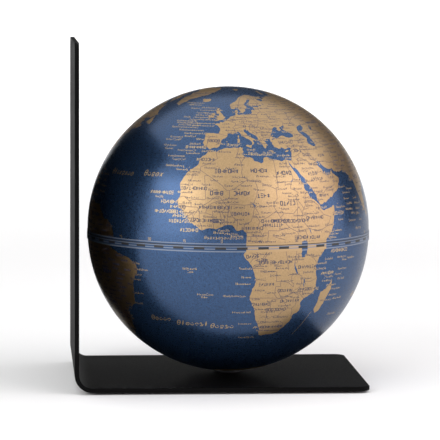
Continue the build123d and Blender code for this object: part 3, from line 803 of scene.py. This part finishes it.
def half_map(name, node, materials):
    """One printed half shell: the map cut into its surface outside, a plain wall inside."""
    north = node == "north_shell"
    flat_points, built, slots = cut_map(north)
    points, normals = (list(part) for part in zip(*(raised(x, y, north, R) for x, y in flat_points)))
    corner_normals = [normals[i] for face in built for i in face]

    def angles_of(loop):
        return [atan2(flat_points[i][0], -flat_points[i][1]) for i in loop]

    # The rest of the wall as (points, their angles, how its normals aim): rings that follow the
    # rim's own points, then plain rings inside.
    outer, hole = open_rims(built, flat_points)
    rim_angles, even = angles_of(outer), [pi * (2 * i / INNER_STEPS - 1) for i in range(INNER_STEPS)]
    seam_arc = 90 + degrees((NORTH_CENTRE - SEAM) / R) if north else 90.0
    inner_arcs = (90, 75, 60, 45, 30, 15, 4) if north else (75, 60, 45, 30, 15, POLE_HOLE)
    rings = [(outer, rim_angles, None)]
    for radius, arc, angles, aim in (
        (R, seam_arc, rim_angles, "out"),
        (INNER_R, seam_arc, even, "flat"),
        *((INNER_R, arc, even, "in") for arc in inner_arcs),
    ):
        rings.append((range(len(points), len(points) + len(angles)), angles, aim))
        points += [raised(*flat(arc, degrees(angle)), north, radius)[0] for angle in angles]
    if not north:
        rings.append((hole, angles_of(hole), "flat"))
    centre = Vector((0, 0, NORTH_CENTRE if north else SOUTH_CENTRE))
    for (a, angle_a, _), (b, angle_b, aim) in zip(rings, rings[1:]):
        for face in bridge(a, b, angle_a, angle_b):
            built.append(list(face)[:: 1 if north else -1])
            corners = [Vector(points[i]) for i in built[-1]]
            for corner in corners:
                if aim == "out":
                    normal = Vector((corner.x, corner.y, 0))
                elif aim == "in":
                    normal = centre - corner
                else:
                    normal = (corners[1] - corners[0]).cross(corners[2] - corners[0])
                corner_normals.append(tuple(normal.normalized()))
    if north:
        cap = rings[-1][0]
        built.append(list(cap)[::-1])
        corner_normals += [(0, 0, -1)] * len(cap)
    slots += [OCEAN] * (len(built) - len(slots))

    keep = sorted({i for face in built for i in face})
    renumber = {old: new for new, old in enumerate(keep)}
    verts, faces = [points[i] for i in keep], [[renumber[i] for i in face] for face in built]
    mesh = globe_piece(name, verts, faces, slots, materials, node)
    mesh.polygons.foreach_set("use_smooth", [True] * len(built))
    mesh.normals_split_custom_set(corner_normals)


# ------------ the equator tape
# Rows down the tape, in millimetres from its top edge, with what a dark and a pale dash show there.
BLUE, PALE, DARK, GOLD = range(4)
TAPE_ROWS = (
    (0.45, PALE, PALE), (0.85, BLUE, BLUE), (1.2, DARK, DARK), (1.35, BLUE, BLUE), (1.7, PALE, PALE),
    (2.35, DARK, BLUE), (2.75, DARK, PALE), (3.35, BLUE, BLUE), (3.9, PALE, PALE),
)
TAPE_THICKNESS = 0.00015
DASHES, DASH_STEPS, DASH_START = 86, 8, -9.5


def equator_scale(name, materials):
    """The tape over the seam: dark and pale dashes, on blue with pale edges over the sea and on gold over land."""
    low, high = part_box("equator_tape")
    inner = high.x - TAPE_THICKNESS
    columns = DASHES * DASH_STEPS
    turns = [DASH_START + 360 * i / columns for i in range(columns)]
    places = np.arange(-180, 200)
    turns_of_places = [to_shell(place, 0, True)[1] for place in places]
    longitudes = np.interp([turn + 180 / columns for turn in turns], turns_of_places, places)
    dry = on_land(np.array([(longitude, 0.0) for longitude in longitudes]))
    heights = [high.z] + [high.z - drop / 1000 for drop, _, _ in TAPE_ROWS[:-1]] + [low.z]
    rings = [(high.x, z) for z in heights] + [(inner, low.z), (inner, high.z)]
    verts = [(r * sin(radians(turn)), -r * cos(radians(turn)), z) for r, z in rings for turn in turns]
    faces, slots = [], []
    for row in range(len(rings)):
        below = (row + 1) % len(rings)
        for i in range(columns):
            j = (i + 1) % columns
            faces.append((row * columns + i, below * columns + i, below * columns + j, row * columns + j))
            if row >= len(TAPE_ROWS):
                slots.append(BLUE)
                continue
            kind = TAPE_ROWS[row][1 + (i // DASH_STEPS) % 2]
            gilded = kind == BLUE or row in (0, len(TAPE_ROWS) - 1)
            slots.append(GOLD if gilded and dry[i] else kind)
    globe_piece(name, verts, faces, slots, materials, "equator_tape")


# ------------ materials
def material(name, colour, roughness, metallic=0.0, spread=0.06, grain=900, bump=0.1, depth=0.00005, detail=3.0,
             fleck=0.0, **sockets):
    """A Principled material whose roughness, bump and flecks of lighter and darker colour come from noise.
    grain is features per metre, and fleck is how far the colour goes each way, as a part of it."""
    made = bpy.data.materials.new(name)
    made.use_nodes = True
    tree = made.node_tree
    link = tree.links.new

    def add(kind, **values):
        node = tree.nodes.new("ShaderNode" + kind)
        for socket, value in values.items():
            node.inputs[socket.replace("_", " ")].default_value = value
        return node

    shader = tree.nodes["Principled BSDF"]
    for socket, value in {"Base_Color": (*colour, 1), "Metallic": metallic, **sockets}.items():
        shader.inputs[socket.replace("_", " ")].default_value = value
    place = add("TexCoord")
    noise = add("TexNoise", Scale=grain, Detail=detail)
    link(place.outputs["Object"], noise.inputs["Vector"])
    # Most of the noise lies between 0.25 and 0.75.
    span = add("MapRange", From_Min=0.25, From_Max=0.75, To_Min=roughness - spread, To_Max=roughness + spread)
    link(noise.outputs["Fac"], span.inputs["Value"])
    link(span.outputs["Result"], shader.inputs["Roughness"])
    if fleck:
        ramp = add("ValToRGB")
        for stop, position, tone in zip(ramp.color_ramp.elements, (0.3, 0.7), (1 - fleck, 1 + fleck)):
            stop.position, stop.color = position, (*(part * tone for part in colour), 1)
        link(noise.outputs["Fac"], ramp.inputs["Fac"])
        link(ramp.outputs["Color"], shader.inputs["Base Color"])
    relief = add("Bump", Strength=bump, Distance=depth)
    link(noise.outputs["Fac"], relief.inputs["Height"])
    link(relief.outputs["Normal"], shader.inputs["Normal"])
    return made


def printed(name, colour, roughness, metallic=0.0, bump=0.03, **sockets):
    """A printed colour: fine, shallow grain."""
    return material(name, colour, roughness, metallic, grain=2500, bump=bump, depth=0.00002, **sockets)


def dress(made, *names):
    """Gives CAD nodes a better material through their own slots."""
    for name in names:
        for held in nodes[name].material_slots:
            held.material = made


dress(material("powder_coat", (0.0016, 0.0015, 0.0016), 0.62, grain=1400, bump=0.6, depth=0.0001, detail=2.0,
               Specular_IOR_Level=0.06), "bracket")
dress(material("pad_foam", (0.02, 0.02, 0.021), 0.92, grain=2600, bump=0.8, depth=0.0002, spread=0.04), "base_pad")
dress(material("zinc_steel", (0.62, 0.62, 0.6), 0.3, metallic=1.0, grain=700, bump=0.1, spread=0.08),
      "pivot_screw", "disc_spring", "plain_washer", "lock_nut")
dress(material("nylon", (0.018, 0.018, 0.02), 0.48, grain=900, bump=0.06), "thrust_washer", "pole_bush")
dress(material("moulded_plastic", (0.55, 0.55, 0.53), 0.5, grain=1600, bump=0.15), "joiner_ring", "pole_boss")

# In the order of OCEAN, LAND, BORDER, INK_DARK, INK_GOLD, and of BLUE, PALE, DARK, GOLD.
MAP_MATERIALS = (
    material("map_ocean", (0.0295, 0.0715, 0.164), 0.3, metallic=0.85, spread=0.08, grain=1600, fleck=0.3, bump=0.3,
             depth=0.00002, Coat_Weight=0.32, Coat_IOR=1.7, Coat_Roughness=0.25, Specular_Tint=(0.55, 0.55, 0.55, 1)),
    material("map_land", (0.4, 0.265, 0.13), 0.37, metallic=1.0, spread=0.08, grain=1600, fleck=0.15, bump=0.3,
             depth=0.00002, Coat_Weight=0.3, Coat_IOR=1.9, Coat_Roughness=0.28, Specular_Tint=(0.7, 0.7, 0.7, 1)),
    printed("map_border", (0.17, 0.12, 0.1), 0.45, metallic=0.3),
    printed("map_ink_dark", (0.02, 0.026, 0.065), 0.45),
    printed("map_ink_gold", (0.46, 0.34, 0.19), 0.42, metallic=0.9),
)
TAPE_MATERIALS = (
    printed("tape_blue", (0.02, 0.058, 0.14), 0.42, metallic=0.7, bump=0.05, Coat_Weight=0.4, Coat_Roughness=0.28),
    printed("tape_pale", (0.18, 0.21, 0.275), 0.42, metallic=0.6),
    printed("tape_dark", (0.012, 0.012, 0.014), 0.45),
    printed("tape_gold", (0.42, 0.285, 0.15), 0.45, metallic=0.6, bump=0.05),
)

half_map("north_map", "north_shell", MAP_MATERIALS)
half_map("south_map", "south_shell", MAP_MATERIALS)
equator_scale("equator_scale", TAPE_MATERIALS)

# ------------ camera
CAMERA_PLACE = (-0.09751, -1.22496, 0.1911)
YAW, PITCH, ROLL = radians(4.376), radians(5.475), radians(0.296)
camera_data = bpy.data.cameras.new("camera")
camera_data.sensor_width = 36
camera_data.lens = 218.3
camera_data.clip_end = 100
camera = put("camera", camera_data)
forward = Vector((sin(YAW) * cos(PITCH), cos(YAW) * cos(PITCH), -sin(PITCH)))
level = Vector((cos(YAW), -sin(YAW), 0))
upright = level.cross(forward)
right = level * cos(ROLL) + upright * sin(ROLL)
up = upright * cos(ROLL) - level * sin(ROLL)
camera.matrix_world = Matrix.Translation(CAMERA_PLACE) @ Matrix((right, up, -forward)).transposed().to_4x4()
bpy.context.scene.camera = camera

# ------------ floor and backdrop, one swept sheet
FLOOR_HALF, WALL_AT, WALL_TOP = 4.0, 3.0, 0.45
COVE, COVE_STEPS = 0.3, 16
profile = [(-FLOOR_HALF, 0), (WALL_AT - COVE, 0)]
for i in range(1, COVE_STEPS + 1):
    bend = pi / 2 * i / COVE_STEPS
    profile.append((WALL_AT - COVE + COVE * sin(bend), COVE - COVE * cos(bend)))
profile.append((WALL_AT, WALL_TOP))
sweep = bpy.data.meshes.new("studio_sweep")
sweep.from_pydata(
    [(x, y, z) for y, z in profile for x in (-FLOOR_HALF, FLOOR_HALF)],
    [],
    [(2 * i, 2 * i + 1, 2 * i + 3, 2 * i + 2) for i in range(len(profile) - 1)],
)
sweep.shade_smooth()
sweep.materials.append(material("studio_paper", (0.93, 0.93, 0.93), 0.8, grain=40, bump=0.02, depth=0.001))
put("studio_sweep", sweep)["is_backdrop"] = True


# ------------ lights
def softbox(name, place, aim, size, power, colour=(1, 1, 1)):
    data = bpy.data.lights.new(name, "AREA")
    data.shape, data.size, data.size_y = "RECTANGLE", size[0], size[1]
    data.energy, data.color = power, colour
    made = put(name, data)
    made.location = place
    made.visible_camera = False
    made.rotation_euler = (Vector(aim) - Vector(place)).to_track_quat("-Z", "Y").to_euler()


MIDDLE = (0, 0, 0.07)
softbox("key", (-1.086, -0.953, 0.466), MIDDLE, (1.25, 1.3), 13.4)
softbox("side", (1.27, -0.65, 0.5), MIDDLE, (2.35, 1.5), 20, (1, 0.93, 0.95))
softbox("fill", (0.1, -2.2, 0.85), MIDDLE, (2.0, 1.1), 4.0)
softbox("overhead", (0, -0.3, 1.9), (0, -0.3, 0), (6.0, 4.6), 96)
softbox("back_wash", (0, 1.6, 1.3), (0, 3, 0.1), (3.4, 0.8), 40)

world = bpy.data.worlds.new("studio")
bpy.context.scene.world = world
world.use_nodes = True
background = world.node_tree.nodes["Background"]
background.inputs["Color"].default_value = (1, 1, 1, 1)
background.inputs["Strength"].default_value = 0.1
bpy.context.scene.view_settings.view_transform = "Standard"
bpy.context.scene.view_settings.look = "None"

# ------------ size
sizes = {"cad": cad_bounds, "visual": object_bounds()}
{model: [list(corner) for corner in box] for model, box in sizes.items()}
